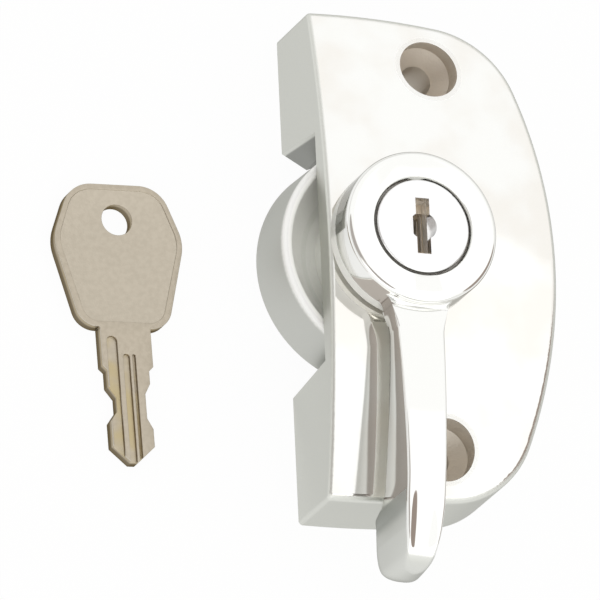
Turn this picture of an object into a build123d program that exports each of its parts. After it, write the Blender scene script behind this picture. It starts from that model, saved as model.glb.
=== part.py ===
from build123d import *
from math import cos, radians, sin, sqrt, tan
import os

# Window pivot lock, in millimetres. It lies on its back: X runs across the body, Y along it,
# and Z out of its face. The origin is on the back plane, midway between the two screw holes.

# Housing: a D-shaped casting, flat on the left and domed on its face.
body_length = 70.4
flat_side_reach = 16.7
round_side_reach = 17.3
side_arc_radius = 78.0
end_arc_radius = 150.0
end_crest_inset = 2.7
corner_radius = 13.0
dome_height = 16.6
dome_radius = 140.0
front_edge_radius = 1.2
flat_edge_radius = 0.6
rim_margin = 0.01
wall = 2.4
pocket_depth = 9.6

# Screw holes on the middle line.
screw_spacing = 55.0
screw_bore_radius = 2.25
screw_head_radius = 4.25
screw_head_depth = 3.1
screw_seat_angle = 45.0
screw_boss_wall = 1.3

# Pivot of the lever and the cam.
pivot_x = -5.9
pivot_y = 0.8
lever_tilt = -2.0

# Lever: head, hub and arm.
head_radius = 10.9
head_thickness = 6.8
head_gap = 0.3
head_edge_radius = 0.9
hub_radius = 8.2
hub_flat_reach = 7.2
hub_lip = 0.8
arm_root_width = 9.3
arm_waist_width = 6.0
arm_nose_width = 3.9
arm_waist_reach = 31.0
arm_reach = 48.5
arm_gap = 2.6
arm_crown_radius = 110.0
arm_tip_radius = 42.0
arm_crown_reach = 33.0
arm_crown_rise = 0.5
arm_blend_radius = 2.2
neck_inset = 0.05
arm_bend_radius = 25.0
toe_start = 38.3
toe_bottom = 11.0
toe_lower_radius = 4.8
toe_upper_radius = 4.0
nose_corner_radius = 1.9
scoop_start = 35.8
scoop_end = 44.6
scoop_radius = 2.9
scoop_lift = 2.2
scoop_start_radius = 0.25

# Cam: a dished disc that is cut away on the side that faces the housing's round wall.
cam_radius = 16.4
cam_back = 2.8
cam_front = 12.3
cam_rim_width = 1.3
cam_floor_top = 7.5
cam_floor_reach = 11.0
cam_small_radius = 10.6
cam_recess_radius = 9.3
cam_draft = 0.4
cam_dish_depth = 0.5
cam_rim_radius = 0.45
cam_boss_wall = 1.4
cam_floor_thickness = 1.4
cam_gap_angle = 16.0
cam_clearance = 0.3
cavity_side_gap = 0.9
notch_half_height = 17.75
notch_flare_angle = 30.0
notch_draft = 4.8

# Friction and retaining rings.
friction_washer_thickness = 0.5
ring_gap = 0.05
cam_washer_thickness = 0.6
ring_side_gap = 0.2
disc_spring_thickness = 0.35
disc_spring_rise = 0.3
circlip_thickness = 0.7
circlip_groove_depth = 0.5
circlip_band = 1.0
circlip_width = 1.45
circlip_eye_radius = 0.7
circlip_gap = 1.6
stop_lug_width = 2.4

# Key barrel, its sleeve and its wafers.
barrel_face_radius = 6.65
barrel_face_thickness = 1.6
barrel_radius = 5.1
barrel_face_edge = 0.2
barrel_inset = 0.5
barrel_lip = 0.8
ring_radius = 7.05
ring_chamfer = 0.15
running_gap = 0.05
press_gap = 0.02
sleeve_wall = 0.95
sleeve_flange_thickness = 1.0
slot_width = 2.0
slot_height = 8.0
slot_eye_radius = 1.95
slot_eye_depth = 1.2
keyway_depth = 16.6
wafer_width = 4.2
wafer_thickness = 0.6
wafer_side_gap = 0.06
wafer_travel = 0.4
wafer_window_width = 2.3
wafer_window_height = 5.6
wafer_first_level = 6.9
wafer_pitch = 1.5
wafer_code_step = 0.2
wafer_groove_gap = 0.3
wafer_lug_width = 0.8
wafer_lug_reach = 2.6
spring_ledge_reach = 4.3
spring_end_gap = 0.06
wafer_spring_radius = 0.24
wafer_spring_wire = 0.08
wafer_spring_sides = 8
wafer_spring_turns = 4
clip_thickness = 0.6
clip_groove_depth = 0.6
clip_gap_width = 5.0
barrel_pin_radius = 0.75
barrel_pin_level = 9.4
barrel_pin_angle = 45.0

# Locking pin, pushed out by a spiral in the barrel as the key turns a quarter.
lock_pin_radius = 1.1
lock_pin_level = 14.1
lock_pin_floor_gap = 0.12
lock_pin_side_gap = 0.15
lock_pin_travel = 1.0
lock_pin_start = 3.6
lock_notch_width = 2.8
lock_notch_depth = 1.3
lock_turn = 90.0
spiral_margin = 25.0
spiral_steps = 12

# The wafers' places, counted in pitches from the lowest, and their codes for the key.
upper_wafer_places = [9, 7, 3, 1]
lower_wafer_places = [8, 2, 0]
upper_wafer_codes = [0, 3, 1, 4]
lower_wafer_codes = [2, 0, 4]

# Key: a flat blank with a rounded bow, laid beside the body.
key_x = -42.1
key_y = 6.1
key_turn = 2.0
key_thickness = 2.1
key_length = 39.9
bow_span = 19.0
bow_height = 20.6
bow_top_width = 12.9
bow_bottom_width = 12.6
bow_widest_drop = 8.0
bow_top_radius = 4.4
bow_side_radius = 6.0
bow_bottom_radius = 3.2
bow_border = 0.8
bow_recess_depth = 0.15
key_hole_radius = 2.2
key_hole_drop = 5.05
key_neck_width = 7.3
key_neck_length = 5.5
blade_width = 6.0
blade_tip_length = 2.3
blade_tip_width = 1.0
bit_slope = 1.5
left_bit_depth = 1.1
left_bit_start = 2.95
left_bit_end = 7.95
right_bit_depth = 0.8
right_bit_start = 2.45
right_bit_end = 8.95
groove_depth = 0.5
side_groove_width = 1.5
side_groove_drop = 1.3
side_groove_x = -2.1
middle_groove_width = 0.95
middle_groove_drop = 3.8
middle_groove_x = -0.15
thin_groove_width = 0.45
thin_groove_x = 0.95

# Places worked out from the sizes above.
half_length = body_length / 2
dome_center_z = dome_height - dome_radius
head_base = dome_height + head_gap
head_top = head_base + head_thickness
cavity_radius = cam_radius + cavity_side_gap
cavity_ceiling = cam_front + cam_clearance
stop_lug_depth = cavity_radius - cam_small_radius - cam_clearance
bore_radius = hub_radius + running_gap
cam_boss_top = cavity_ceiling - friction_washer_thickness - 2 * ring_gap
cam_recess_top = cam_floor_top - cam_floor_thickness
sleeve_bore = barrel_radius + running_gap
sleeve_radius = sleeve_bore + sleeve_wall
sleeve_seat = sleeve_radius + press_gap
sleeve_top = head_top - barrel_face_thickness
flange_bottom = sleeve_top - sleeve_flange_thickness
cam_boss_radius = hub_radius + cam_boss_wall
cam_washer_bottom = cam_recess_top - ring_gap - cam_washer_thickness
disc_spring_bottom = cam_washer_bottom - ring_gap - disc_spring_thickness - disc_spring_rise
circlip_bottom = disc_spring_bottom - ring_gap - circlip_thickness
circlip_inner = hub_radius - circlip_groove_depth + press_gap
hub_foot = circlip_bottom - ring_gap - hub_lip
barrel_bottom = hub_foot + barrel_inset
clip_bottom = barrel_bottom + barrel_lip
sleeve_bottom = clip_bottom + clip_thickness + ring_gap
arm_start = barrel_face_radius
arm_crown_height = head_top + arm_crown_rise
screw_boss_radius = screw_head_radius + screw_boss_wall
wafer_reach = barrel_radius - wafer_side_gap

upper_wafer_levels = [wafer_first_level + place * wafer_pitch for place in upper_wafer_places]
lower_wafer_levels = [wafer_first_level + place * wafer_pitch for place in lower_wafer_places]

os.makedirs("parts", exist_ok=True)

pivot = Vector(pivot_x, pivot_y, 0)
pivot_axis = Axis((pivot_x, pivot_y, 0), (0, 0, 1))


def pivot_plane(height):
    """Plane across the pivot axis at a height above the back plane."""
    return Plane(origin=(pivot_x, pivot_y, height))


def pivot_section():
    """Plane through the pivot axis, for profiles that are revolved: x is radius, y is height."""
    return Plane(origin=(pivot_x, pivot_y, 0), x_dir=(1, 0, 0), z_dir=(0, -1, 0))


def radial_plane(angle, reach, height):
    """Plane that faces away from the pivot axis at an angle, a distance out from it."""
    outward = Vector(cos(radians(angle)), sin(radians(angle)), 0)
    center = pivot + outward * reach + Vector(0, 0, height)
    return Plane(origin=center, x_dir=(0, 0, 1), z_dir=outward)


arm_direction = Vector(sin(radians(lever_tilt)), -cos(radians(lever_tilt)), 0)
arm_side = Plane(origin=pivot, x_dir=arm_direction, z_dir=arm_direction.cross(Vector(0, 0, 1)))
arm_plan = Plane(origin=pivot, x_dir=arm_direction, z_dir=(0, 0, 1))

# Housing: the D outline under a dome that is centred on the pivot.
housing_width = flat_side_reach + round_side_reach


def d_outline(inset):
    """Fill the current sketch with the housing's D outline, drawn in by an inset."""
    with Locations(((round_side_reach - flat_side_reach) / 2, 0)):
        Rectangle(housing_width - 2 * inset, body_length + wall)
    with Locations((round_side_reach - side_arc_radius, 0)):
        Circle(side_arc_radius - inset, mode=Mode.INTERSECT)
    for end in (1, -1):
        with Locations((end_crest_inset - flat_side_reach, end * (half_length - end_arc_radius))):
            Circle(end_arc_radius - inset, mode=Mode.INTERSECT)


def round_corners(sketch):
    """The two corners of the outline on its round side."""
    return sketch.vertices().filter_by(lambda v: v.X > 0 and abs(v.Y) > body_length / 4)


with BuildPart() as housing:
    with BuildSketch(Plane.XY) as outline:
        d_outline(0)
        fillet(round_corners(outline), corner_radius)
    extrude(amount=dome_height)
    with Locations((pivot_x, pivot_y, dome_center_z)):
        Sphere(dome_radius, mode=Mode.INTERSECT)
    # The dome meets the curved walls in splines, and the flat side in an arc.
    fillet(housing.edges().filter_by(GeomType.BSPLINE), front_edge_radius)
    flat_rim = housing.edges().filter_by(
        lambda e: e.center().X < rim_margin - flat_side_reach and e.center().Z > pocket_depth
    )
    fillet(flat_rim, flat_edge_radius)

    # Cam cavity from the back, with a stop lug left in it for the cam's two ends.
    with BuildSketch(pivot_plane(0)):
        Circle(cavity_radius)
        with Locations((0, cavity_radius - stop_lug_depth / 2)):
            Rectangle(stop_lug_width, stop_lug_depth, mode=Mode.SUBTRACT)
    extrude(amount=cavity_ceiling, mode=Mode.SUBTRACT)

    # The notch in the flat side, flared outwards and drafted, that the cam stands out of.
    notch_outer = flat_side_reach + pivot_x + wall
    notch_inner = notch_outer - 2 * wall - notch_half_height * sin(radians(notch_flare_angle)) / 2
    flare = tan(radians(notch_flare_angle))
    outer_half = notch_half_height + flare * wall
    inner_half = notch_half_height - flare * (notch_outer - wall - notch_inner)
    with BuildSketch(pivot_plane(0)):
        with BuildLine():
            Polyline(
                (-notch_outer, -outer_half),
                (-notch_inner, -inner_half),
                (-notch_inner, inner_half),
                (-notch_outer, outer_half),
                close=True,
            )
        make_face()
    extrude(amount=cavity_ceiling, taper=notch_draft, mode=Mode.SUBTRACT)

    # End pockets round the screw bosses.
    pocket_start = cavity_radius + wall
    with BuildSketch(Plane.XY) as pockets:
        d_outline(wall)
        fillet(round_corners(pockets), corner_radius - wall)
        with Locations((0, pivot_y)):
            Rectangle(2 * housing_width, 2 * pocket_start, mode=Mode.SUBTRACT)
        with GridLocations(0, screw_spacing, 1, 2):
            Circle(screw_boss_radius, mode=Mode.SUBTRACT)
    extrude(amount=pocket_depth, mode=Mode.SUBTRACT)

    # Screw holes: a flat-sided recess for the head, a conical seat and the bore.
    seat_drop = (screw_head_radius - screw_bore_radius) / tan(radians(screw_seat_angle))
    hole_distance = sqrt(pivot_x**2 + (screw_spacing / 2) ** 2)
    head_floor = dome_center_z + sqrt(dome_radius**2 - hole_distance**2) - screw_head_depth
    for hole_y in (-screw_spacing / 2, screw_spacing / 2):
        with BuildSketch(Plane(origin=(0, hole_y, 0), x_dir=(1, 0, 0), z_dir=(0, -1, 0))):
            with BuildLine():
                Polyline(
                    (0, -wall),
                    (screw_bore_radius, -wall),
                    (screw_bore_radius, head_floor - seat_drop),
                    (screw_head_radius, head_floor),
                    (screw_head_radius, dome_height + wall),
                    (0, dome_height + wall),
                    close=True,
                )
            make_face()
        revolve(axis=Axis((0, hole_y, 0), (0, 0, 1)), mode=Mode.SUBTRACT)

    # Bore for the lever's hub, with a notch on each side for the locking pin.
    with BuildSketch(pivot_plane(cavity_ceiling)):
        Circle(bore_radius)
    extrude(amount=dome_height, mode=Mode.SUBTRACT)
    with BuildSketch(pivot_plane(cavity_ceiling)):
        Rectangle(2 * (bore_radius + lock_notch_depth), lock_notch_width)
    extrude(amount=lock_pin_level + lock_notch_width / 2 - cavity_ceiling, mode=Mode.SUBTRACT)
housing.part.label = "housing"
export_step(housing.part, "parts/housing.step")

# Lever: head over the dome, arm with a scoop at its tip, and the hub that passes through.
def under_height(reach):
    """Height of the arm's underside above the back plane, at a distance from the pivot."""
    return dome_center_z + sqrt((dome_radius + arm_gap) ** 2 - reach**2)


def crown_height(reach):
    """Height of the arm's top above the back plane, at a distance from the pivot."""
    radius = arm_tip_radius if reach > arm_crown_reach else arm_crown_radius
    return arm_crown_height - radius + sqrt(radius**2 - (reach - arm_crown_reach) ** 2)


with BuildPart() as lever:
    with BuildSketch(arm_side) as arm_profile:
        with BuildLine():
            Line((arm_start, under_height(arm_start)), (arm_start, crown_height(arm_start)))
            for first, last in ((arm_start, arm_crown_reach), (arm_crown_reach, arm_reach)):
                middle = (first + last) / 2
                ThreePointArc(
                    (first, crown_height(first)), (middle, crown_height(middle)), (last, crown_height(last))
                )
            Line((arm_reach, crown_height(arm_reach)), (arm_reach, toe_bottom))
            Line((arm_reach, toe_bottom), (toe_start, toe_bottom))
            Line((toe_start, toe_bottom), (toe_start, under_height(toe_start)))
            ThreePointArc(
                (toe_start, under_height(toe_start)),
                (toe_start / 2, under_height(toe_start / 2)),
                (arm_start, under_height(arm_start)),
            )
        make_face()
        tip = arm_profile.vertices().filter_by(lambda v: v.X > (toe_start + arm_reach) / 2)
        fillet(tip.sort_by(Axis.Y)[0], toe_lower_radius)
        tip = arm_profile.vertices().filter_by(lambda v: v.X > (toe_start + arm_reach) / 2)
        fillet(tip.sort_by(Axis.Y)[-1], toe_upper_radius)
    extrude(amount=arm_root_width, both=True)
    with BuildSketch(arm_plan) as arm_outline:
        with BuildLine():
            Polyline(
                (0, -arm_root_width / 2),
                (arm_waist_reach, -arm_waist_width / 2),
                (toe_start, -arm_waist_width / 2),
                (arm_reach, -arm_nose_width / 2),
                (arm_reach, arm_nose_width / 2),
                (toe_start, arm_waist_width / 2),
                (arm_waist_reach, arm_waist_width / 2),
                (0, arm_root_width / 2),
                close=True,
            )
        make_face()
        fillet(arm_outline.vertices().group_by(Axis.X)[-1], nose_corner_radius)
        bends = arm_outline.vertices().filter_by(lambda v: head_radius < v.X < (toe_start + arm_reach) / 2)
        fillet(bends, arm_bend_radius)
        Circle(head_radius - neck_inset)
        neck = arm_outline.vertices().filter_by(lambda v: 0 < v.X < head_radius)
        fillet(neck, arm_blend_radius)
    extrude(amount=head_top + wall, mode=Mode.INTERSECT)

    # Thumb scoop: the low side of a cone with a round end, whose axis climbs above the arm's top.
    scoop_first = Vector(scoop_start, crown_height(scoop_start))
    scoop_last = Vector(scoop_end, crown_height(scoop_end) + scoop_lift)
    along = (scoop_last - scoop_first).normalized()
    across = Vector(-along.Y, along.X)
    scoop_side = scoop_last + across * scoop_radius
    scoop_middle = scoop_last + (across + along).normalized() * scoop_radius
    scoop_tip = scoop_last + along * scoop_radius
    with BuildSketch(arm_side):
        with BuildLine():
            Line(scoop_first, scoop_first + across * scoop_start_radius)
            Line(scoop_first + across * scoop_start_radius, scoop_side)
            ThreePointArc(scoop_side, scoop_middle, scoop_tip)
            Line(scoop_tip, scoop_first)
        make_face()
    scoop_origin = arm_side.from_local_coords(scoop_first)
    scoop_direction = arm_side.from_local_coords(scoop_last) - scoop_origin
    revolve(axis=Axis(scoop_origin, scoop_direction), mode=Mode.SUBTRACT)

    # Round head with a rounded rim.
    with BuildSketch(pivot_section()) as head_profile:
        with BuildLine():
            Polyline((0, head_top), (0, head_base), (head_radius, head_base), (head_radius, head_top), (0, head_top))
        make_face()
        fillet(head_profile.vertices().sort_by(Axis((0, 0, 0), (1, 1, 0)))[-1], head_edge_radius)
    revolve(axis=pivot_axis)

    # Hub with two flats for the cam, and the groove for its circlip.
    with BuildSketch(pivot_plane(hub_foot)):
        Circle(hub_radius)
    extrude(amount=head_base - hub_foot)
    with BuildSketch(pivot_plane(hub_foot)):
        Rectangle(4 * hub_radius, 4 * hub_radius)
        Rectangle(2 * hub_flat_reach, 4 * hub_radius, mode=Mode.SUBTRACT)
    extrude(amount=cam_boss_top - hub_foot, mode=Mode.SUBTRACT)
    with BuildSketch(pivot_plane(circlip_bottom - ring_gap)):
        Circle(2 * hub_radius)
        Circle(hub_radius - circlip_groove_depth, mode=Mode.SUBTRACT)
    extrude(amount=circlip_thickness + 2 * ring_gap, mode=Mode.SUBTRACT)

    # Bore for the sleeve, its seat in the head, and the two radial pin holes.
    with BuildSketch(pivot_section()):
        with BuildLine():
            Polyline(
                (0, hub_foot - hub_lip),
                (sleeve_seat, hub_foot - hub_lip),
                (sleeve_seat, flange_bottom),
                (ring_radius, flange_bottom),
                (ring_radius, head_top - ring_chamfer),
                (ring_radius + 2 * ring_chamfer, head_top + ring_chamfer),
                (0, head_top + ring_chamfer),
                close=True,
            )
        make_face()
    revolve(axis=pivot_axis, mode=Mode.SUBTRACT)
    with BuildSketch(radial_plane(0, 0, lock_pin_level)):
        Circle(lock_pin_radius + running_gap)
    extrude(amount=2 * hub_radius, mode=Mode.SUBTRACT)
    with BuildSketch(radial_plane(barrel_pin_angle, 0, barrel_pin_level)):
        Circle(barrel_pin_radius)
    extrude(amount=2 * hub_radius, mode=Mode.SUBTRACT)
lever.part.label = "lever"
export_step(lever.part, "parts/lever.step")

# Cam: a dished disc with a boss that seats on the hub's flats.
with BuildPart() as cam:
    rim_outer = cam_radius - cam_draft
    rim_inner = rim_outer - cam_rim_width
    dish_middle = (
        (rim_inner + cam_floor_reach) / 2 + cam_dish_depth,
        (cam_front + cam_floor_top) / 2 - cam_dish_depth,
    )
    with BuildSketch(pivot_section()):
        with BuildLine():
            Polyline(
                (rim_inner, cam_front),
                (rim_outer, cam_front),
                (cam_radius, cam_back),
                (cam_recess_radius, cam_back),
                (cam_recess_radius, cam_recess_top),
                (0, cam_recess_top),
                (0, cam_boss_top),
                (cam_boss_radius, cam_boss_top),
                (cam_boss_radius, cam_floor_top),
                (cam_floor_reach, cam_floor_top),
            )
            ThreePointArc((cam_floor_reach, cam_floor_top), dish_middle, (rim_inner, cam_front))
        make_face()
    revolve(axis=pivot_axis)
    keep_angle = radians((180 - cam_gap_angle) / 2)
    far = 4 * cam_radius
    with BuildSketch(pivot_plane(0)):
        Circle(2 * cam_radius)
        Circle(cam_small_radius, mode=Mode.SUBTRACT)
        with BuildLine():
            Polyline(
                (0, 0),
                (-far * cos(keep_angle), far * sin(keep_angle)),
                (-far, far),
                (-far, -far),
                (-far * cos(keep_angle), -far * sin(keep_angle)),
                close=True,
            )
        make_face(mode=Mode.SUBTRACT)
    extrude(amount=cavity_ceiling, mode=Mode.SUBTRACT)
    with BuildSketch(pivot_plane(0)):
        Circle(hub_radius + press_gap)
        Rectangle(2 * (hub_flat_reach + press_gap), 4 * hub_radius, mode=Mode.INTERSECT)
    extrude(amount=cavity_ceiling, mode=Mode.SUBTRACT)
    cam_rim = cam.edges().filter_by(GeomType.CIRCLE).group_by(Axis.Z)[-1]
    fillet(cam_rim, cam_rim_radius)
cam.part.label = "cam"
export_step(cam.part, "parts/cam.step")

# Friction washer between the cam's boss and the housing.
with BuildPart() as friction_washer:
    with BuildSketch(pivot_plane(cam_boss_top + ring_gap)):
        Circle(cam_boss_radius)
        Circle(hub_radius + ring_gap, mode=Mode.SUBTRACT)
    extrude(amount=friction_washer_thickness)
friction_washer.part.label = "friction_washer"
export_step(friction_washer.part, "parts/friction_washer.step")

# Flat washer that the disc spring bears on.
with BuildPart() as cam_washer:
    with BuildSketch(pivot_plane(cam_washer_bottom)):
        Circle(cam_recess_radius - ring_side_gap)
        Circle(hub_radius + ring_gap, mode=Mode.SUBTRACT)
    extrude(amount=cam_washer_thickness)
cam_washer.part.label = "cam_washer"
export_step(cam_washer.part, "parts/cam_washer.step")

# Disc spring: a shallow cone that loads the friction washer.
with BuildPart() as disc_spring:
    with BuildSketch(pivot_section()):
        with BuildLine():
            Polyline(
                (hub_radius + ring_gap, disc_spring_bottom),
                (cam_recess_radius - ring_side_gap, disc_spring_bottom + disc_spring_rise),
                (cam_recess_radius - ring_side_gap, disc_spring_bottom + disc_spring_rise + disc_spring_thickness),
                (hub_radius + ring_gap, disc_spring_bottom + disc_spring_thickness),
                close=True,
            )
        make_face()
    revolve(axis=pivot_axis)
disc_spring.part.label = "disc_spring"
export_step(disc_spring.part, "parts/disc_spring.step")

# Circlip in the hub's groove, with an eye at each end.
with BuildPart() as circlip:
    eye_reach = circlip_inner + circlip_width - circlip_eye_radius
    eye_offset = circlip_gap / 2 + circlip_eye_radius
    with BuildSketch(pivot_plane(circlip_bottom)):
        Circle(circlip_inner + circlip_band)
        Circle(circlip_inner, mode=Mode.SUBTRACT)
        with Locations((0, -circlip_inner)):
            Rectangle(circlip_gap, 4 * circlip_band, mode=Mode.SUBTRACT)
        with Locations((-eye_offset, -eye_reach), (eye_offset, -eye_reach)):
            Circle(circlip_eye_radius)
            Circle(circlip_eye_radius / 2, mode=Mode.SUBTRACT)
    extrude(amount=circlip_thickness)
circlip.part.label = "circlip"
export_step(circlip.part, "parts/circlip.step")

# Sleeve: pressed into the hub, with a flange in the head and grooves for the wafers' ends.
with BuildPart() as lock_sleeve:
    with BuildSketch(pivot_plane(sleeve_bottom)):
        Circle(sleeve_radius)
    extrude(amount=sleeve_top - sleeve_bottom)
    with BuildSketch(pivot_plane(flange_bottom)):
        Circle(ring_radius - press_gap)
    extrude(amount=sleeve_flange_thickness)
    with BuildSketch(pivot_plane(sleeve_bottom)):
        Circle(sleeve_bore)
    extrude(amount=sleeve_top - sleeve_bottom, mode=Mode.SUBTRACT)
    with BuildSketch(pivot_plane(sleeve_bottom)):
        Rectangle(4 * sleeve_bore, wafer_width + wafer_groove_gap)
        Rectangle(wafer_width + wafer_groove_gap, 4 * sleeve_bore)
        Circle(wafer_reach + wafer_travel + wafer_groove_gap / 2, mode=Mode.INTERSECT)
    extrude(amount=max(upper_wafer_levels) + wafer_thickness - sleeve_bottom, mode=Mode.SUBTRACT)
    with BuildSketch(radial_plane(0, 0, lock_pin_level)):
        Circle(lock_pin_radius + running_gap)
    extrude(amount=2 * sleeve_radius, mode=Mode.SUBTRACT)
    with BuildSketch(radial_plane(barrel_pin_angle, 0, barrel_pin_level)):
        Circle(barrel_pin_radius)
    extrude(amount=2 * sleeve_radius, mode=Mode.SUBTRACT)
lock_sleeve.part.label = "lock_sleeve"
export_step(lock_sleeve.part, "parts/lock_sleeve.step")

# Pin that holds the sleeve in the hub.
with BuildPart() as barrel_pin:
    with BuildSketch(radial_plane(barrel_pin_angle, sleeve_bore + press_gap, barrel_pin_level)):
        Circle(barrel_pin_radius - press_gap)
    extrude(amount=hub_radius - sleeve_bore - 2 * ring_gap)
barrel_pin.part.label = "barrel_pin"
export_step(barrel_pin.part, "parts/barrel_pin.step")

# Barrel: face disc, keyway, wafer chambers, and the spiral that pushes the locking pin.
chamber_width = wafer_width + 2 * wafer_side_gap
chamber_height = wafer_thickness + 2 * wafer_side_gap
with BuildPart() as plug:
    with BuildSketch(pivot_plane(barrel_bottom)):
        Circle(barrel_radius)
    extrude(amount=head_top - barrel_bottom)
    with BuildSketch(pivot_plane(sleeve_top + ring_gap)):
        Circle(barrel_face_radius)
    extrude(amount=barrel_face_thickness - ring_gap)
    face_rim = plug.edges().filter_by(GeomType.CIRCLE).group_by(Axis.Z)[-1]
    fillet(face_rim, barrel_face_edge)
    with BuildSketch(pivot_plane(head_top)):
        Rectangle(slot_width, slot_height)
    extrude(amount=-keyway_depth, mode=Mode.SUBTRACT)
    with BuildSketch(pivot_plane(head_top)):
        Circle(slot_eye_radius)
    extrude(amount=-slot_eye_depth, mode=Mode.SUBTRACT)
    for levels, side in ((upper_wafer_levels, -1), (lower_wafer_levels, 1)):
        for level in levels:
            with BuildSketch(pivot_plane(level - chamber_height / 2)):
                Rectangle(chamber_width, 4 * barrel_radius)
                with Locations((chamber_width / 2, side * 2 * barrel_radius)):
                    Rectangle(
                        2 * (wafer_lug_width + wafer_side_gap),
                        4 * barrel_radius - 2 * spring_ledge_reach,
                        mode=Mode.SUBTRACT,
                    )
            extrude(amount=chamber_height, mode=Mode.SUBTRACT)
    with BuildSketch(pivot_plane(clip_bottom - ring_gap)):
        Circle(2 * barrel_radius)
        Circle(barrel_radius - clip_groove_depth, mode=Mode.SUBTRACT)
    extrude(amount=clip_thickness + 2 * ring_gap, mode=Mode.SUBTRACT)
    spiral = []
    for step in range(spiral_steps + 1):
        turn = -spiral_margin + step * (lock_turn + 2 * spiral_margin) / spiral_steps
        floor = lock_pin_start - lock_pin_floor_gap + lock_pin_travel * turn / lock_turn
        spiral.append((floor * cos(radians(turn)), -floor * sin(radians(turn))))
    rim_reach = 2 * barrel_radius
    first_turn = radians(-spiral_margin)
    middle_turn = radians(lock_turn / 2)
    last_turn = radians(lock_turn + spiral_margin)
    rim_first = (rim_reach * cos(first_turn), -rim_reach * sin(first_turn))
    rim_middle = (rim_reach * cos(middle_turn), -rim_reach * sin(middle_turn))
    rim_last = (rim_reach * cos(last_turn), -rim_reach * sin(last_turn))
    with BuildSketch(pivot_plane(lock_pin_level - lock_pin_radius - lock_pin_side_gap)):
        with BuildLine():
            Polyline(spiral)
            Line(spiral[-1], rim_last)
            ThreePointArc(rim_last, rim_middle, rim_first)
            Line(rim_first, spiral[0])
        make_face()
    spiral_height = 2 * (lock_pin_radius + lock_pin_side_gap)
    extrude(amount=spiral_height, mode=Mode.SUBTRACT)
plug.part.label = "plug"
export_step(plug.part, "parts/plug.step")

# Clip on the barrel's foot, under the sleeve.
with BuildPart() as plug_clip:
    clip_inner = barrel_radius - clip_groove_depth + press_gap
    with BuildSketch(pivot_plane(clip_bottom)):
        Circle(sleeve_radius - ring_side_gap)
        Circle(clip_inner, mode=Mode.SUBTRACT)
        with Locations((0, -clip_inner)):
            Rectangle(clip_gap_width, 4 * clip_groove_depth + 2 * sleeve_wall, mode=Mode.SUBTRACT)
    extrude(amount=clip_thickness)
plug_clip.part.label = "plug_clip"
export_step(plug_clip.part, "parts/plug_clip.step")

# Locking pin, drawn in flush with the hub while the key is at rest.
with BuildPart() as locking_pin:
    with BuildSketch(radial_plane(0, lock_pin_start, lock_pin_level)):
        Circle(lock_pin_radius)
    extrude(amount=hub_radius - ring_gap - lock_pin_start)
locking_pin.part.label = "locking_pin"
export_step(locking_pin.part, "parts/locking_pin.step")


# Wafers: brass plates across the barrel, each with a window for the key and a corner cut away
# for its spring. The upper ones are pushed up, the lower ones down.
def wafer(level, window_height, side):
    """One wafer, with its spring corner on the side given: -1 is below, 1 is above."""
    with BuildPart() as plate:
        with BuildSketch(pivot_plane(level - wafer_thickness / 2)):
            Rectangle(wafer_width, 4 * barrel_radius)
            Circle(wafer_reach, mode=Mode.INTERSECT)
            Rectangle(wafer_window_width, window_height, mode=Mode.SUBTRACT)
            with Locations((wafer_width / 2, side * 2 * barrel_radius)):
                Rectangle(
                    2 * wafer_lug_width,
                    4 * barrel_radius - 2 * wafer_lug_reach,
                    mode=Mode.SUBTRACT,
                )
        extrude(amount=wafer_thickness)
    return plate


for number, (level, code) in enumerate(zip(upper_wafer_levels, upper_wafer_codes), start=1):
    upper_wafer = wafer(level, wafer_window_height - code * wafer_code_step, -1)
    upper_wafer.part.label = f"upper_wafer_{number}"
    export_step(upper_wafer.part, f"parts/upper_wafer_{number}.step")
for number, (level, code) in enumerate(zip(lower_wafer_levels, lower_wafer_codes), start=1):
    lower_wafer = wafer(level, wafer_window_height - code * wafer_code_step, 1)
    lower_wafer.part.label = f"lower_wafer_{number}"
    export_step(lower_wafer.part, f"parts/lower_wafer_{number}.step")

# Wafer springs: one coil in each cut corner, between the barrel's ledge and the wafer. The thin
# wire is drawn with eight sides.
spring_length = spring_ledge_reach - wafer_lug_reach - 2 * spring_end_gap
spring_x = pivot_x + (wafer_width - wafer_lug_width) / 2 + wafer_side_gap


def wafer_springs(levels, side):
    """The springs of one set of wafers, below them for -1 and above them for 1."""
    with BuildPart() as springs:
        for level in levels:
            start_y = pivot_y + side * (wafer_lug_reach + spring_end_gap + wafer_spring_wire)
            with BuildLine():
                coil = Helix(
                    pitch=(spring_length - 2 * wafer_spring_wire) / wafer_spring_turns,
                    height=spring_length - 2 * wafer_spring_wire,
                    radius=wafer_spring_radius,
                    center=(spring_x, start_y, level),
                    direction=(0, side, 0),
                )
            with BuildSketch(Plane(origin=coil @ 0, z_dir=coil % 0)):
                RegularPolygon(wafer_spring_wire, wafer_spring_sides)
            sweep(path=coil, is_frenet=True)
    return springs


upper_wafer_springs = wafer_springs(upper_wafer_levels, -1)
upper_wafer_springs.part.label = "upper_wafer_springs"
export_step(upper_wafer_springs.part, "parts/upper_wafer_springs.step")
lower_wafer_springs = wafer_springs(lower_wafer_levels, 1)
lower_wafer_springs.part.label = "lower_wafer_springs"
export_step(lower_wafer_springs.part, "parts/lower_wafer_springs.step")

# Key: rounded bow with a thin raised border, neck, and a blade cut on both edges. It is drawn
# from the centre of the hole in its bow, and lies flat.
bow_top = key_hole_drop
bow_bottom = bow_top - bow_height
neck_bottom = bow_bottom - key_neck_length
key_tip = bow_top - key_length


def key_plane(height):
    """Plane across the key at a height above the surface that it lies on."""
    along_x = (cos(radians(key_turn)), sin(radians(key_turn)), 0)
    return Plane(origin=(key_x, key_y, height), x_dir=along_x, z_dir=(0, 0, 1))


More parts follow.
